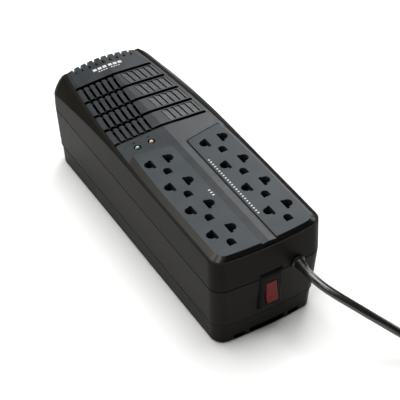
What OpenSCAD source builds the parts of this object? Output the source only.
// Power unit: a long low housing with two banks of outlets on top, a rocker switch and a mains lead
// at one end, a vented deck at the other, and a transformer and control board inside.
// Units are millimetres and +Z is up. The switch end is at -Y and the vented end at +Y.
// The origin is at the middle of the footprint, on the surface that the unit stands on.

/* [Housing] */
// Width of the housing where its two halves meet
body_w = 101.4; // [101:0.1:102]
// Distance from the origin to the switch end
near_reach = 141.5; // [141:0.1:142]
// Distance from the origin to the vented end
far_reach = 146; // [145.5:0.1:146.5]
// Height of the joint line between base and upper case
parting_z = 63.8; // [63.4:0.1:64.2]
// Height of the outlet banks
bank_z = 96; // [95.8:0.1:96.4]
// Wall thickness of the housing
wall = 2.4; // [2:0.1:2.6]
// Inset of the skirt at the foot of the base
skirt_inset = 1; // [0.6:0.1:1.2]
// Gap between the top cover and the upper case
cover_gap = 1; // [0.6:0.1:1.2]

/* [Vents] */
// Distance between the slots across the deck
row_pitch = 20.75; // [20:0.05:21]
// Width of the slots across the deck
slot_w = 3.4; // [3:0.1:3.8]
// Distance between the gaps in one row
gap_pitch = 5.9; // [5.7:0.1:6]
// Width of each gap on the left
gap_w = 2.4; // [2:0.1:2.8]
// Distance between the slots over the rear edge
back_pitch = 6.9; // [6.6:0.1:7]

/* [Outlets] */
// Distance from the middle of the unit to each column of outlets
outlet_x = 26.3; // [26:0.1:26.5]
// Distance between outlets in a column
outlet_pitch = 32; // [31.6:0.1:32.2]
// Distance between the inner edges of a pair of blade slots
blade_gap = 10.5; // [10.2:0.1:10.8]

/* [Switch] */
// Width of the rocker
rocker_w = 10; // [9.6:0.1:10.2]
// Height of the rocker's face
rocker_h = 20; // [19.6:0.1:20.2]
// Tilt of the rocker either way from level
rocker_tilt = 9.1; // [8:0.1:9.4]

/* [Mains lead] */
// Diameter of the lead
cord_d = 7; // [6.8:0.1:7]
// Mean radius of the coil
coil_r = 38.5; // [38:0.5:39]

/* [Hidden] */
$fn = 48;
half_w = body_w / 2;
near_y = -near_reach;
near_bow = 0.00137;
far_bow = 0.0028;
near_corner = 11.8;
far_corner = 14.6;
side_draft = 0.054;
near_draft = 0.043;
far_draft = 0.032;
near_lean = 0.076;
base_z = 0.5;
floor_z = base_z + wall;
skirt_z = 20.5;
seam_h = 0.5;
seam_in = 0.8;

// Deck and cover
groove_z = bank_z - 4;
deck_z = bank_z - 0.7;
deck_slope = 0.0645;
cover_hw = 48.5;
cover_pull = 0.0003;
pull_y = -59.9;
cover_near = -137.8;
cover_t = 2.2;
shelf_z = 88.5;
shelf_t = 2.2;
shelf_w = 3.5;
panel_z = 70;
panel_y = 128;
back_z = 74;
back_lean = 0.32;
far_open = 37.4;
rim_z = 92.6;
rim_out = 1.5;
crease_z = 92.2;
crease_drop = 0.00075;

// Outlet banks
bank_in = 6.8;
bank_far = -1.2;
bank_slant = 0.18;
bank_out = 43.6;
bank_round = 3;
bank_seat = 92.4;
seat_t = 2.2;
block_x0 = 10;
block_x1 = 41.5;
block_y0 = -122.4;
block_y1 = -1.4;
block_z = 73;
tongue_w = 5.3;
tongue_l = 5;
well_gap = 0.4;
outlet_far_y = -11.9;
outlets = [for (i = [0:3]) outlet_far_y - i * outlet_pitch];
lobe_x = 9.3;
lobe_r = 4;
pin_y = -13.5;
pin_r = 3.4;
bar_t = 0.8;
leaf_t = 0.6;

// Vents
slot_y = [for (i = [0:4]) 27.6 + i * row_pitch];
row_y = [for (i = [0:3]) 27.6 + (i + 0.5) * row_pitch];
gap_len = 13;
recess_t = 1.5;
louvre_slit = 0.7;
louvre_drop = 0.9;
back_slot_y = 130;
back_slot_w = 2.4;
gap_count = 6;
gap_edge = 6.6;
slot_edge = 3.3;

// Lights
led_y = 15.2;
green_x = -31.1;
amber_x = -17.8;
led_r = 2.4;
led_hole = 3.2;
led_board_z = 82;
board_t = 1.6;

// Switch
switch_x = -0.9;
pivot_y = -139.5;
pivot_z = 46.4;
pin_rad = 1.2;
pin_play = 0.05;
face_r = 5;
bezel_y = -142.9;

// Mains lead
exit_x = 24;
exit_z = 65;
sleeve_tip = -161.5;
coil_lift = 1;
coil_c = [97, -285];
coil_rings = 3;
tie_angle = 240;
coil_top = coil_lift + coil_rings * cord_d;
route = [
  [24, -161.5, 65], [27, -174, 63], [33.5, -186, 59], [41.5, -196.5, 53.5], [50, -206, 47],
  [59, -214, 39.5], [68.5, -221, 31], [78.5, -227.3, 22], [88.5, -233, 14], [98.5, -238.5, 8.3],
  [108, -243.4, 5.2], [117.35, -248.25, 4.5]
];
// Angle round the coil, distance from its middle, and height
tail_turns = [
  [92, 42, 17], [78, 41.5, 20], [61, 40.5, 25.5], [44, 39, 28], [30, 37.5, 30], [18, 36, 31.2]
];
plug_offset = 33.5;
plug_back = 6;
plug_len = 36;
blade_z = 7;
blade_l = 16;
pin_l = 19;
plug_h = 23;
plug_neck_z = coil_top + 9.5;

// Base
boss_near = [37, -127.5];
boss_far = [40, 100];
foot_at = [[36, -102], [35, 118]];
foot_t = 1.7;
foot_r = 6;
recess_top = 7;
recess_y = -131;
lip_t = 1;

// Transformer and control board
core_y = 55;
core_d = 36;
core_w = 66;
core_z0 = 6;
core_h = 55;
leg_w = 22;
yoke_h = 11;
strap_x = 39;
board_post = [[33, -100], [33, -10]];
board_z = 14;
board_top = board_z + board_t;
terminal_h = 11;
inlet_y = [-87, -77, -67];
terminal_z = [38, 46.4, 55];
fuse_z = board_top + 5.5;

// Colours
dark = [0.16, 0.16, 0.16];
grey = [0.27, 0.28, 0.29];
bank_grey = [0.33, 0.34, 0.36];
black = [0.07, 0.07, 0.075];
red = [0.55, 0.16, 0.16];
steel = [0.7, 0.7, 0.72];
copper = [0.72, 0.42, 0.2];
brass = [0.8, 0.66, 0.35];
board = [0.08, 0.3, 0.16];

// ---------- helpers ----------

// Whole outline from its right half, which runs from the near middle to the far middle
function mirrored(half) =
  concat(half, [for (i = [len(half) - 2:-1:1]) [-half[i][0], half[i][1]]]);

// Plan outline: bowed ends, rounded corners, and sides that draw in towards the far end by pull
function outline(hw, pull, yn, rn, yf, rf) =
  let (
    nx = hw - rn,
    na = atan(2 * near_bow * nx),
    ne = nx + rn * sin(na),
    ncy = yn + near_bow * ne * ne + rn * cos(na),
    fhw = hw - pull * pow(yf - rf - pull_y, 2),
    fx = fhw - rf,
    fa = atan(2 * far_bow * fx),
    fe = fx + rf * sin(fa),
    fcy = yf - far_bow * fe * fe - rf * cos(fa)
  )
  mirrored(concat(
    [for (i = [0:4]) let (x = ne * i / 5) [x, yn + near_bow * x * x]],
    [for (i = [0:6]) let (t = -90 + na + i * (90 - na) / 6) [nx + rn * cos(t), ncy + rn * sin(t)]],
    [for (i = [1:9]) let (y = ncy + (fcy - ncy) * i / 10) [hw - pull * pow(max(0, y - pull_y), 2), y]],
    [for (i = [0:6]) let (t = i * (90 - fa) / 6) [fx + rf * cos(t), fcy + rf * sin(t)]],
    [for (i = [4:-1:0]) let (x = fe * i / 5) [x, yf - far_bow * x * x]]
  ));

function level(pts, z) = [for (p = pts) [p[0], p[1], z]];

// Closed skin through rings that all have the same number of points, lowest ring first
module loft(rings) {
  n = len(rings[0]);
  m = len(rings);
  sides = [for (k = [0:m - 2], i = [0:n - 1])
    let (a = k * n + i, b = k * n + (i + 1) % n)
    each [[a, a + n, b + n], [a, b + n, b]]];
  bottom = [[for (i = [0:n - 1]) i]];
  top = [[for (i = [n - 1:-1:0]) (m - 1) * n + i]];
  polyhedron([for (r = rings) each r], concat(bottom, sides, top), convexity = 6);
}

// Box given by its lowest and highest corners
module block(lo, hi) {
  translate(lo) cube(hi - lo);
}

// Upright cylinder from one height to another
module post(x, y, z0, z1, r) {
  translate([x, y, z0]) cylinder(h = z1 - z0, r = r);
}

// Both sides of the unit
module both_sides() {
  children();
  mirror([1, 0, 0]) children();
}

// Round wire through three points, with a ball at the bend
module wire(a, b, c, r) {
  rod(a, b, r);
  rod(b, c, r);
  translate(b) sphere(r = r, $fn = 24);
}

module rod(a, b, r) {
  d = b - a;
  translate(a)
    rotate([0, acos(d[2] / norm(d)), atan2(d[1], d[0])])
      cylinder(h = norm(d), r = r, $fn = 24);
}

// ---------- housing ----------

function base_ring(z, inset) =
  let (d = parting_z - z)
  level(outline(half_w - side_draft * d - inset, 0, near_y + near_draft * d + inset,
    near_corner - inset, far_reach - far_draft * d - inset, far_corner - inset), z);

module base_outer() {
  loft([base_ring(base_z, skirt_inset + 0.6), base_ring(base_z + 0.8, skirt_inset),
    base_ring(skirt_z - 0.3, skirt_inset), base_ring(skirt_z + 0.5, 0),
    base_ring(parting_z - seam_h - 0.2, 0), base_ring(parting_z - seam_h, seam_in),
    base_ring(parting_z, seam_in)]);
}

// Openings in both halves of the housing at the switch end
module near_openings() {
  block([switch_x - 10.8, -150, 28.9], [switch_x + 10.8, -136, 67.6]);
  translate([exit_x, -150, exit_z])
    rotate([-90, 0, 0]) cylinder(h = 20, r = 5.1);
}

module base_shell() {
  color(dark)
    difference() {
      union() {
        difference() {
          base_outer();
          difference() {
            loft([base_ring(floor_z, wall + skirt_inset), base_ring(skirt_z, wall + skirt_inset),
              base_ring(skirt_z + 2, wall), base_ring(parting_z + 1, wall)]);
            block([-60, -150, 0], [60, recess_y + wall, recess_top + wall]);
          }
        }
        both_sides() {
          post(boss_near[0], boss_near[1], floor_z - 1, 12, 5);
          post(boss_far[0], boss_far[1], floor_z - 1, 12, 5);
          post(strap_x, core_y, floor_z - 1, 6, 4.5);
          for (p = board_post) {
            post(p[0], p[1], floor_z - 1, 14, 3);
          }
        }
        for (y = [core_y - 13, core_y + 10]) {
          block([-30, y, floor_z - 1], [30, y + 3, 6]);
        }
      }
      near_openings();
      block([-16.5, -150, base_z + lip_t], [16.5, recess_y, recess_top]);
      both_sides() {
        block([20.5, -150, base_z + lip_t], [31, recess_y, recess_top - 1]);
        for (b = [boss_near, boss_far]) {
          post(b[0], b[1], -1, 4, 3.6);
          post(b[0], b[1], 3, 13, 1.9);
        }
        for (f = foot_at) {
          post(f[0], f[1], -1, foot_t, foot_r + 0.1);
        }
        post(strap_x, core_y, 1.6, 7, 1.4);
        for (p = board_post) {
          post(p[0], p[1], 6, 15, 1.2);
        }
      }
    }
}

function crease(y) = crease_z - crease_drop * pow(max(0, y - 2), 2);

function cover_outline(z, grow) =
  let (
    up = max(0, z - groove_z),
    yf = far_reach - back_lean * max(0, z - back_z),
    rf = z <= 80 ? 1.5 : 1.5 + 6 * min(1, (z - 80) / 12)
  )
  outline(cover_hw - 1.25 * up + grow, cover_pull * (1 + up / 4), cover_near + 0.75 * up - grow,
    10 - 0.5 * up + grow, yf + grow, max(0.4, rf + grow));

module upper_outer() {
  full = outline(half_w, 0, near_y, near_corner, far_reach, far_corner);
  leaned = outline(half_w, 0, near_y + near_lean * (crease_z - parting_z), near_corner,
    far_reach, far_corner);
  loft([level(full, parting_z), [for (p = leaned) [p[0], p[1], crease(p[1])]],
    level(cover_outline(groove_z, rim_out), rim_z)]);
}

// Space taken by the top cover, grown by a gap all round
module cover_space(grow) {
  top_z = bank_z;
  heights = [panel_z, back_z, 80, 85, 87.5, 90, groove_z, 93.4, 94.6, deck_z - 0.05, top_z];
  difference() {
    loft([for (z = heights) level(cover_outline(z, grow), z)]);
    block([-60, -150, 60], [60, panel_y - grow, shelf_z]);
  }
}

module upper_case() {
  color(dark)
    difference() {
      union() {
        difference() {
          upper_outer();
          loft([
            level(outline(half_w - wall, 0, near_y + wall, near_corner - wall, far_reach - wall,
              far_corner - wall), parting_z - 1),
            level(outline(half_w - wall, 0, near_y + wall + 1, near_corner - wall,
              far_reach - wall, far_corner - wall), 76),
            level(outline(half_w - wall, 0.000155, near_y + wall + 1.8, near_corner - wall,
              far_reach - 5, far_corner), shelf_z - shelf_t)
          ]);
          loft([
            level(outline(cover_hw - shelf_w, cover_pull, cover_near + shelf_w, 7, 135, 7), 80),
            level(outline(cover_hw - shelf_w, cover_pull, cover_near + shelf_w, 7, 135, 7), 100)
          ]);
        }
        both_sides() {
          post(boss_near[0], boss_near[1], 12, shelf_z - shelf_t + 1, 4);
          block([boss_near[0], boss_near[1] - 1.2, 66], [49, boss_near[1] + 1.2, 87]);
          post(boss_far[0], boss_far[1], 12, shelf_z - shelf_t + 1, 4);
          block([boss_far[0], boss_far[1] - 1.2, 66], [49, boss_far[1] + 1.2, 80]);
        }
      }
      cover_space(cover_gap);
      // no rim behind the leaning far edge of the cover
      block([-far_open, 136, back_z + 1], [far_open, 150, 100]);
      near_openings();
      both_sides() {
        post(boss_near[0], boss_near[1], 11, 24, 1.7);
        post(boss_far[0], boss_far[1], 11, 24, 1.7);
      }
    }
}

// ---------- top ----------

// Plan area of one outlet bank on the right, grown by a gap, with its far outer corner rounded
module bank_area(grow) {
  inner = bank_in - grow;
  outer = bank_out + grow;
  far_y = bank_far + bank_slant * (outer - bank_round) + grow;
  polygon(concat(
    [[inner, -150], [55, -150], [55, far_y - bank_round], [outer, far_y - bank_round]],
    [for (t = [0:15:90])
      [outer - bank_round + bank_round * cos(t), far_y - bank_round + bank_round * sin(t)]],
    [[inner, bank_far + bank_slant * inner + grow]]
  ));
}

module bank_prism(grow, z0) {
  translate([0, 0, z0])
    linear_extrude(height = 100 - z0) bank_area(grow);
}

// Everything below a shallow ridge along the middle of the deck
module under_ridge(drop) {
  top = deck_z - drop;
  translate([0, 200, 0])
    rotate([90, 0, 0])
      linear_extrude(height = 400)
        polygon([[-60, 50], [60, 50], [60, top - 60 * deck_slope], [0, top],
          [-60, top - 60 * deck_slope]]);
}

function cover_half(y) = cover_hw - cover_pull * pow(max(0, y - pull_y), 2);

module cross_slots() {
  for (y = slot_y) {
    right = cover_half(y) - slot_edge - slot_w / 2;
    block([-55, y - slot_w / 2, shelf_z + 1.5], [right, y + slot_w / 2, 100]);
    post(right, y, shelf_z + 1.5, 100, slot_w / 2);
  }
}

// Places its children at one gap of a row, turned to follow the edge of the cover
module at_gap(y, i) {
  translate([cover_half(y) - gap_edge - i * gap_pitch, y, 0])
    rotate([0, 0, atan(2 * cover_pull * (y - pull_y))])
      children();
}

// Open gap with a shallow recess that runs on to the slots at both ends
module vent_gap(y, i) {
  top = deck_z - (cover_half(y) - gap_edge - i * gap_pitch) * deck_slope;
  strip = row_pitch - slot_w + 0.6;
  at_gap(y, i) {
    block([-gap_w / 2, -gap_len / 2, shelf_z], [gap_w / 2, gap_len / 2, 100]);
    block([-gap_w / 2, -strip / 2, top - recess_t], [gap_w / 2, strip / 2, 100]);
  }
}

// Narrow slit with a face that falls away from it, which makes a row of louvres
module louvre(y, i) {
  fall = i > 0 ? gap_pitch - louvre_slit : gap_edge - slot_edge - 0.8;
  at_gap(y, i)
    translate([0, gap_len / 2 + 1, deck_z - (cover_half(y) - gap_edge - i * gap_pitch) * deck_slope])
      rotate([90, 0, 0])
        linear_extrude(height = gap_len + 2)
          polygon([[-louvre_slit, -8], [0, -8], [0, 0],
            [fall, -fall * (deck_slope + louvre_drop / gap_pitch)], [fall, 2], [-louvre_slit, 2]]);
}

module back_slots() {
  for (i = [-4:4]) {
    block([i * back_pitch - back_slot_w / 2, back_slot_y, panel_z + 4],
      [i * back_pitch + back_slot_w / 2, 150, 100]);
  }
}

// Hook inside the skirt that catches under the shelf of the upper case
module cover_hook(y) {
  w = cover_half(y);
  block([w - 5.1, y - 4, 84.8], [w - 3.7, y + 4, 90.5]);
  block([w - 5.1, y - 4, 88.8], [w - 2, y + 4, 90.5]);
  block([w - 3.8, y - 4, 84.8], [w - 2.6, y + 4, 86]);
}

module top_cover() {
  color(grey) {
    cover_skin();
    post((green_x + amber_x) / 2, led_y, led_board_z + board_t, 92.5, 2);
    both_sides()
      for (y = [-100, -30, 60]) {
        cover_hook(y);
      }
  }
}

module cover_skin() {
  difference() {
    intersection() {
      cover_space(0);
      under_ridge(0);
    }
    // hollow under the skirt and under the deck
    intersection() {
      loft([for (z = [60, back_z, 80, 85, 87.5, bank_seat - seat_t])
        level(cover_outline(z, -cover_t), z)]);
      block([-60, -150, 60], [60, 150, bank_seat - seat_t]);
    }
    intersection() {
      loft([for (z = [bank_seat - seat_t - 0.5, 91, 92.2, deck_z - cover_t - 0.05])
        level(cover_outline(z + cover_t, -cover_t), z)]);
      under_ridge(cover_t);
      block([-60, 9.5, 80], [60, 150, 100]);
    }
    both_sides() {
      bank_prism(0.1, bank_seat);
      block([block_x0 - well_gap, block_y0 - well_gap, 80],
        [block_x1 + well_gap, block_y1 + well_gap, 100]);
      block([outlet_x - tongue_w - well_gap, block_y0 - tongue_l - well_gap, 80],
        [outlet_x + tongue_w + well_gap, block_y0, 100]);
    }
    cross_slots();
    for (y = row_y, i = [0:gap_count - 1]) {
      mirror([1, 0, 0]) vent_gap(y, i);
      louvre(y, i);
    }
    back_slots();
    for (x = [green_x, amber_x]) {
      post(x, led_y, 80, 100, led_hole);
    }
  }
}

// The openings of one outlet: a blade slot with a round lobe on each side and a domed ground hole
module outlet_cut(z0) {
  translate([0, 0, z0])
    linear_extrude(height = 100 - z0) {
      for (s = [-1, 1]) {
        translate([s > 0 ? blade_gap / 2 : -blade_gap / 2 - 3, -5.6]) square([3, 10.6]);
        translate([s * lobe_x, 0.2]) circle(r = lobe_r);
      }
      translate([-pin_r, pin_y - 3.8]) square([2 * pin_r, 4]);
      translate([0, pin_y + 0.2]) circle(r = pin_r);
    }
}

module bank_cuts(side, z0) {
  for (y = outlets) {
    translate([side * outlet_x, y, 0]) outlet_cut(z0);
  }
}

module bank_plate(side) {
  difference() {
    intersection() {
      cover_space(0);
      mirror([side > 0 ? 0 : 1, 0, 0]) bank_prism(0, bank_seat);
    }
    bank_cuts(side, bank_seat - 1);
  }
}

module avr_bank_plate() {
  color(bank_grey) bank_plate(-1);
}

module surge_bank_plate() {
  color(bank_grey) bank_plate(1);
}

module socket_block(side) {
  difference() {
    mirror([side > 0 ? 0 : 1, 0, 0]) {
      block([block_x0, block_y0, block_z], [block_x1, block_y1, bank_seat]);
      // tongue round the last ground hole
      block([outlet_x - tongue_w, block_y0 - tongue_l, block_z],
        [outlet_x + tongue_w, block_y0 + 1, bank_seat]);
    }
    bank_cuts(side, block_z - 1);
  }
}

module avr_socket_block() {
  color(black) socket_block(-1);
}

module surge_socket_block() {
  color(black) socket_block(1);
}

// Contact strip under a socket block, with a spring leaf standing in each opening
module contact_bar(side, x, w, leaf_x, leaf_y) {
  translate([side * outlet_x + x, 0, 0]) {
    block([-w / 2, block_y0 + 1, block_z - bar_t], [w / 2, block_y1 - 1, block_z]);
    for (y = outlets) {
      block([leaf_x, y + leaf_y - 2, block_z - 0.1], [leaf_x + leaf_t, y + leaf_y + 2, block_z + 11]);
    }
  }
}

module line_bar(side) {
  contact_bar(side, lobe_x, 7, blade_gap / 2 + 0.1 - lobe_x, 0);
}

module neutral_bar(side) {
  contact_bar(side, -lobe_x, 7, lobe_x - blade_gap / 2 - 0.1 - leaf_t, 0);
}

module ground_bar(side) {
  contact_bar(side, 0, 6, -pin_r + 0.1, pin_y - 1.2);
}

module avr_line_bar() {
  color(brass) line_bar(-1);
}

module avr_neutral_bar() {
  color(brass) neutral_bar(-1);
}

module avr_ground_bar() {
  color(brass) ground_bar(-1);
}

module surge_line_bar() {
  color(brass) line_bar(1);
}

module surge_neutral_bar() {
  color(brass) neutral_bar(1);
}

module surge_ground_bar() {
  color(brass) ground_bar(1);
}

// ---------- lights ----------

module led(x) {
  shoulder = 86;
  top = deck_z + x * deck_slope - 1;
  translate([x, led_y, 0])
    rotate_extrude()
      polygon(concat([[0, shoulder - 1], [led_r + 0.5, shoulder - 1], [led_r + 0.5, shoulder],
        [led_r, shoulder]], [for (t = [0:15:90]) [led_r * cos(t), top + led_r * sin(t)]]));
  for (s = [-1, 1]) {
    post(x + 1.27 * s, led_y, led_board_z + board_t, shoulder - 1, 0.3);
  }
}

module green_led() {
  color([0.75, 0.9, 0.78]) led(green_x);
}

module amber_led() {
  color([0.92, 0.88, 0.7]) led(amber_x);
}

module led_board() {
  color(board)
    block([green_x - 6, led_y - 5, led_board_z], [amber_x + 6, led_y + 5, led_board_z + board_t]);
}

// ---------- switch ----------

module switch_housing() {
  w_wall = 10.7;
  w_front = 8.9;
  z_lo = 29;
  z_hi = 67.5;
  opening_w = rocker_w / 2 + 0.3;
  opening_h = 11.2;
  color(black)
    translate([switch_x, 0, 0])
      difference() {
        union() {
          intersection() {
            linear_extrude(height = 100)
              polygon([[-w_wall, -137], [w_wall, -137], [w_wall, bezel_y + w_wall - w_front],
                [w_front, bezel_y], [-w_front, bezel_y], [-w_wall, bezel_y + w_wall - w_front]]);
            rotate([90, 0, 90])
              translate([0, 0, -20])
                linear_extrude(height = 40)
                  polygon([[-137, z_lo], [bezel_y + 1.6, z_lo], [bezel_y, z_lo + 1.6],
                    [bezel_y, 64.2], [bezel_y + 2.2, z_hi], [-137, z_hi]]);
          }
          block([-7.4, -137.5, 33], [7.4, -121, 60]);
        }
        block([-opening_w, -150, pivot_z - opening_h], [opening_w, -132.5, pivot_z + opening_h]);
        translate([-opening_w - 1.6, pivot_y, pivot_z])
          rotate([0, 90, 0]) cylinder(h = 2 * opening_w + 3.2, r = pin_rad + pin_play);
      }
}

module rocker() {
  color(red)
    translate([switch_x, pivot_y, pivot_z])
      rotate([-rocker_tilt, 0, 0]) {
        rotate([90, 0, 90])
          translate([0, 0, -rocker_w / 2])
            linear_extrude(height = rocker_w)
              polygon([[-face_r, -rocker_h / 2], [-face_r + 0.5, 0], [-face_r, rocker_h / 2],
                [-face_r + 3, rocker_h / 2 - 0.3], [0, rocker_h / 2 - 1.6], [3.4, 3],
                [3.4, -3], [0, -rocker_h / 2 + 1.6], [-face_r + 3, -rocker_h / 2 + 0.3]]);
        translate([-rocker_w / 2 - 1.4, 0, 0])
          rotate([0, 90, 0]) cylinder(h = rocker_w + 2.8, r = pin_rad);
      }
}

module switch_terminals() {
  color(brass)
    for (z = terminal_z) {
      block([switch_x - 3.15, -121, z - 0.4], [switch_x + 3.15, -113, z + 0.4]);
    }
}

module switch_wires() {
  color([0.12, 0.12, 0.14]) {
    wire([switch_x - 1.6, -113, terminal_z[0]], [switch_x - 1.6, -102, terminal_z[0]],
      [switch_x - 1.6, -102, 15.6], 1.1);
    wire([switch_x + 2, -113, terminal_z[1]], [switch_x + 2, -98, terminal_z[1]],
      [switch_x + 2, -98, 15.6], 1.1);
  }
}

// ---------- feet and screws ----------

module rubber_feet() {
  color([0.1, 0.1, 0.1])
    both_sides()
      for (f = foot_at) {
        post(f[0], f[1], 0, foot_t, foot_r);
      }
}

module screw(x, y, head_z, head_r, head_h, tip_z, r) {
  post(x, y, min(head_z, head_z + head_h), max(head_z, head_z + head_h), head_r);
  post(x, y, min(tip_z, head_z), max(tip_z, head_z), r);
}

module case_screws() {
  color(steel)
    both_sides()
      for (b = [boss_near, boss_far]) {
        screw(b[0], b[1], 4, 3.3, -2.2, 22, 1.6);
      }
}

// ---------- transformer ----------

module transformer_core() {
  z1 = core_z0 + yoke_h;
  z2 = core_z0 + core_h - yoke_h;
  y0 = core_y - core_d / 2;
  y1 = core_y + core_d / 2;
  color([0.45, 0.45, 0.47])
    difference() {
      block([-core_w / 2, y0, core_z0], [core_w / 2, y1, core_z0 + core_h]);
      both_sides()
        block([leg_w / 2, y0 - 1, z1], [leg_w, y1 + 1, z2]);
    }
}

module transformer_bobbin() {
  z1 = core_z0 + yoke_h + 0.2;
  z2 = core_z0 + core_h - yoke_h - 0.2;
  hole = [leg_w / 2 + 0.2, core_d / 2 + 0.2];
  tube = hole + [1, 1];
  color([0.85, 0.83, 0.75])
    translate([0, core_y, 0])
      difference() {
        union() {
          block([-tube[0], -tube[1], z1], [tube[0], tube[1], z2]);
          for (z = [z1, z2 - 1.2]) {
            block([-leg_w + 0.2, -29, z], [leg_w - 0.2, 29, z + 1.2]);
          }
        }
        block([-hole[0], -hole[1], z1 - 1], [hole[0], hole[1], z2 + 1]);
      }
}

module transformer_winding() {
  z1 = core_z0 + yoke_h + 1.4;
  z2 = core_z0 + core_h - yoke_h - 1.4;
  inner = [leg_w / 2 + 1.2, core_d / 2 + 1.2];
  color(copper)
    translate([0, core_y, z1])
      linear_extrude(height = z2 - z1)
        difference() {
          square([2 * leg_w - 1.2, 55], center = true);
          square(2 * inner, center = true);
        }
}

module transformer_bracket() {
  t = 1.5;
  top = core_z0 + core_h;
  side = core_w / 2;
  color(steel)
    difference() {
      translate([0, core_y + 6, 0])
        rotate([90, 0, 0])
          linear_extrude(height = 12)
            polygon([[-43, core_z0], [-43, core_z0 + t], [-side - t, core_z0 + t],
              [-side - t, top + t], [side + t, top + t], [side + t, core_z0 + t],
              [43, core_z0 + t], [43, core_z0], [side, core_z0], [side, top], [-side, top],
              [-side, core_z0]]);
      both_sides() post(strap_x, core_y, 0, 20, 1.6);
    }
}

module transformer_screws() {
  color(steel)
    both_sides()
      screw(strap_x, core_y, core_z0 + 1.5, 2.8, 1.8, 2.2, 1.3);
}

// ---------- control board ----------

module control_board() {
  color(board)
    difference() {
      block([-38, -106, board_z], [38, -4, board_top]);
      both_sides()
        for (p = board_post) {
          post(p[0], p[1], 0, 20, 1.5);
        }
    }
}

module board_screws() {
  color(steel)
    both_sides()
      for (p = board_post) {
        screw(p[0], p[1], board_top, 2.5, 1.6, 8, 1.1);
      }
}

module relays() {
  color([0.1, 0.25, 0.5])
    for (y = [-36, -54, -72]) {
      block([-34, y - 7.5, board_top], [-15, y + 7.5, board_top + 15.5]);
    }
}

module filter_capacitors() {
  color([0.12, 0.14, 0.2])
    for (y = [-30, -43, -56]) {
      post(-6, y, board_top, board_top + 20, 5);
    }
}

module surge_varistors() {
  color([0.15, 0.3, 0.62])
    for (y = [-24, -34, -44]) {
      translate([26, y, board_top + 7])
        rotate([-90, 0, 0]) cylinder(h = 4, r = 7);
    }
}

module controller_chip() {
  color([0.08, 0.08, 0.08])
    block([6, -60, board_top], [14, -34, board_top + 3.6]);
}

module terminal_block() {
  color([0.1, 0.42, 0.22])
    difference() {
      block([exit_x - 5, -92, board_top], [exit_x + 5, -62, board_top + terminal_h]);
      for (y = inlet_y) {
        post(exit_x + 2.5, y, board_top + 4, board_top + terminal_h + 1, 1.5);
      }
    }
}

module fuse_holder() {
  color([0.1, 0.1, 0.1])
    difference() {
      block([-12, -86, board_top], [12, -76, board_top + 7]);
      block([-10.2, -84.2, board_top + 2], [10.2, -77.8, board_top + 9]);
    }
}

module fuse() {
  color([0.8, 0.85, 0.85])
    translate([-10, -81, fuse_z])
      rotate([0, 90, 0]) cylinder(h = 20, r = 2.6);
}

module outlet_wires() {
  color([0.15, 0.15, 0.17])
    for (s = [-1, 1], x = [-lobe_x, 0, lobe_x]) {
      post(s * outlet_x + x, -15, board_top, block_z - bar_t, 1.1);
    }
}

module inlet_wires() {
  color([0.15, 0.15, 0.17])
    for (i = [0:2]) {
      x = exit_x - 2.4 + 2.4 * (i % 2);
      z = exit_z + 2.4 - 2.4 * i;
      wire([x, -134, z], [x, inlet_y[2 - i], z], [x, inlet_y[2 - i], board_top + terminal_h], 1.1);
    }
}

// ---------- mains lead ----------

// Rings round a path, each square to it, with the first and last square to the path's ends
function path_dir(p, i) =
  let (d = p[min(i + 1, len(p) - 1)] - p[max(i - 1, 0)]) d / norm(d);

function path_ring(p, i, r, n) =
  let (
    d = path_dir(p, i),
    s = cross(d, [0, 0, 1]) / norm(cross(d, [0, 0, 1])),
    u = cross(s, d)
  )
  [for (k = [0:n - 1]) let (a = 360 * k / n) p[i] + r * (cos(a) * s + sin(a) * u)];

module tube(p, d) {
  loft([for (i = [0:len(p) - 1]) path_ring(p, i, d / 2, 12)]);
}

module strain_relief() {
  color(black)
    translate([exit_x, 0, exit_z])
      rotate([90, 0, 0])
        rotate_extrude()
          polygon([[0, 134], [4.6, 134], [4.6, 141.4], [6.2, 141.4], [6.2, 143], [4.8, 144],
            [4.4, -sleeve_tip - 1], [4, -sleeve_tip], [0, -sleeve_tip]]);
}

module power_cord() {
  color([0.1, 0.1, 0.1]) tube(route, cord_d);
}

module cord_coil() {
  color([0.1, 0.1, 0.1])
    translate([coil_c[0], coil_c[1], coil_lift])
      rotate_extrude($fn = 64)
        translate([coil_r - cord_d, 0]) square([2 * cord_d, coil_rings * cord_d]);
}

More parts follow.
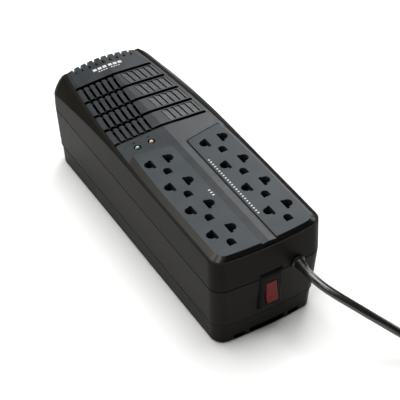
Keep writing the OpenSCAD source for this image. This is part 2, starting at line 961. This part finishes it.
// End of the lead, which climbs on to the coil and enters the plug
module cord_tail() {
  climb = [for (t = tail_turns) [coil_c[0] + t[1] * cos(t[0]), coil_c[1] + t[1] * sin(t[0]), t[2]]];
  color([0.1, 0.1, 0.1])
    tube(concat(climb, [[coil_c[0] + plug_offset, coil_c[1] + plug_back - 1, plug_neck_z]]), cord_d);
}

module coil_tie() {
  t = coil_lift;
  h = coil_rings * cord_d;
  color([0.06, 0.06, 0.06])
    translate([coil_c[0], coil_c[1], 0])
      rotate([0, 0, tie_angle])
        rotate_extrude(angle = 16, $fn = 64)
          difference() {
            translate([coil_r - cord_d - t, 0]) square([2 * cord_d + 2 * t, h + 2 * t]);
            translate([coil_r - cord_d, t]) square([2 * cord_d, h]);
          }
}

// Places its children on top of the coil, with the plug's rear at the origin and its front along Y
module at_plug() {
  translate([coil_c[0] + plug_offset, coil_c[1] + plug_back, coil_top])
    rotate([0, 0, 180])
      children();
}

module plug_body() {
  color(black)
    at_plug()
      hull() {
        translate([0, plug_len - 3, 0])
          linear_extrude(height = plug_h)
            square([25, 6], center = true);
        translate([0, 9, 0])
          linear_extrude(height = 19)
            square([17, 6], center = true);
        translate([0, 0, 9.5])
          rotate([-90, 0, 0]) cylinder(h = 1, r = 5, $fn = 32);
      }
}

module plug_blades() {
  color(brass)
    at_plug()
      for (s = [-1, 1]) {
        translate([6.35 * s, plug_len, blade_z])
          block([-0.75, 0, -3.15], [0.75, blade_l, 3.15]);
      }
}

module plug_ground_pin() {
  color(brass)
    at_plug()
      translate([0, plug_len, blade_z + 11.9])
        rotate([-90, 0, 0]) cylinder(h = pin_l, r = 2.4);
}

base_shell();
upper_case();
top_cover();
avr_bank_plate();
surge_bank_plate();
avr_socket_block();
surge_socket_block();
avr_line_bar();
avr_neutral_bar();
avr_ground_bar();
surge_line_bar();
surge_neutral_bar();
surge_ground_bar();
green_led();
amber_led();
led_board();
switch_housing();
rocker();
switch_terminals();
switch_wires();
rubber_feet();
case_screws();
transformer_core();
transformer_bobbin();
transformer_winding();
transformer_bracket();
transformer_screws();
control_board();
board_screws();
relays();
filter_capacitors();
surge_varistors();
controller_chip();
terminal_block();
fuse_holder();
fuse();
outlet_wires();
inlet_wires();
strain_relief();
power_cord();
cord_coil();
cord_tail();
coil_tie();
plug_body();
plug_blades();
plug_ground_pin();
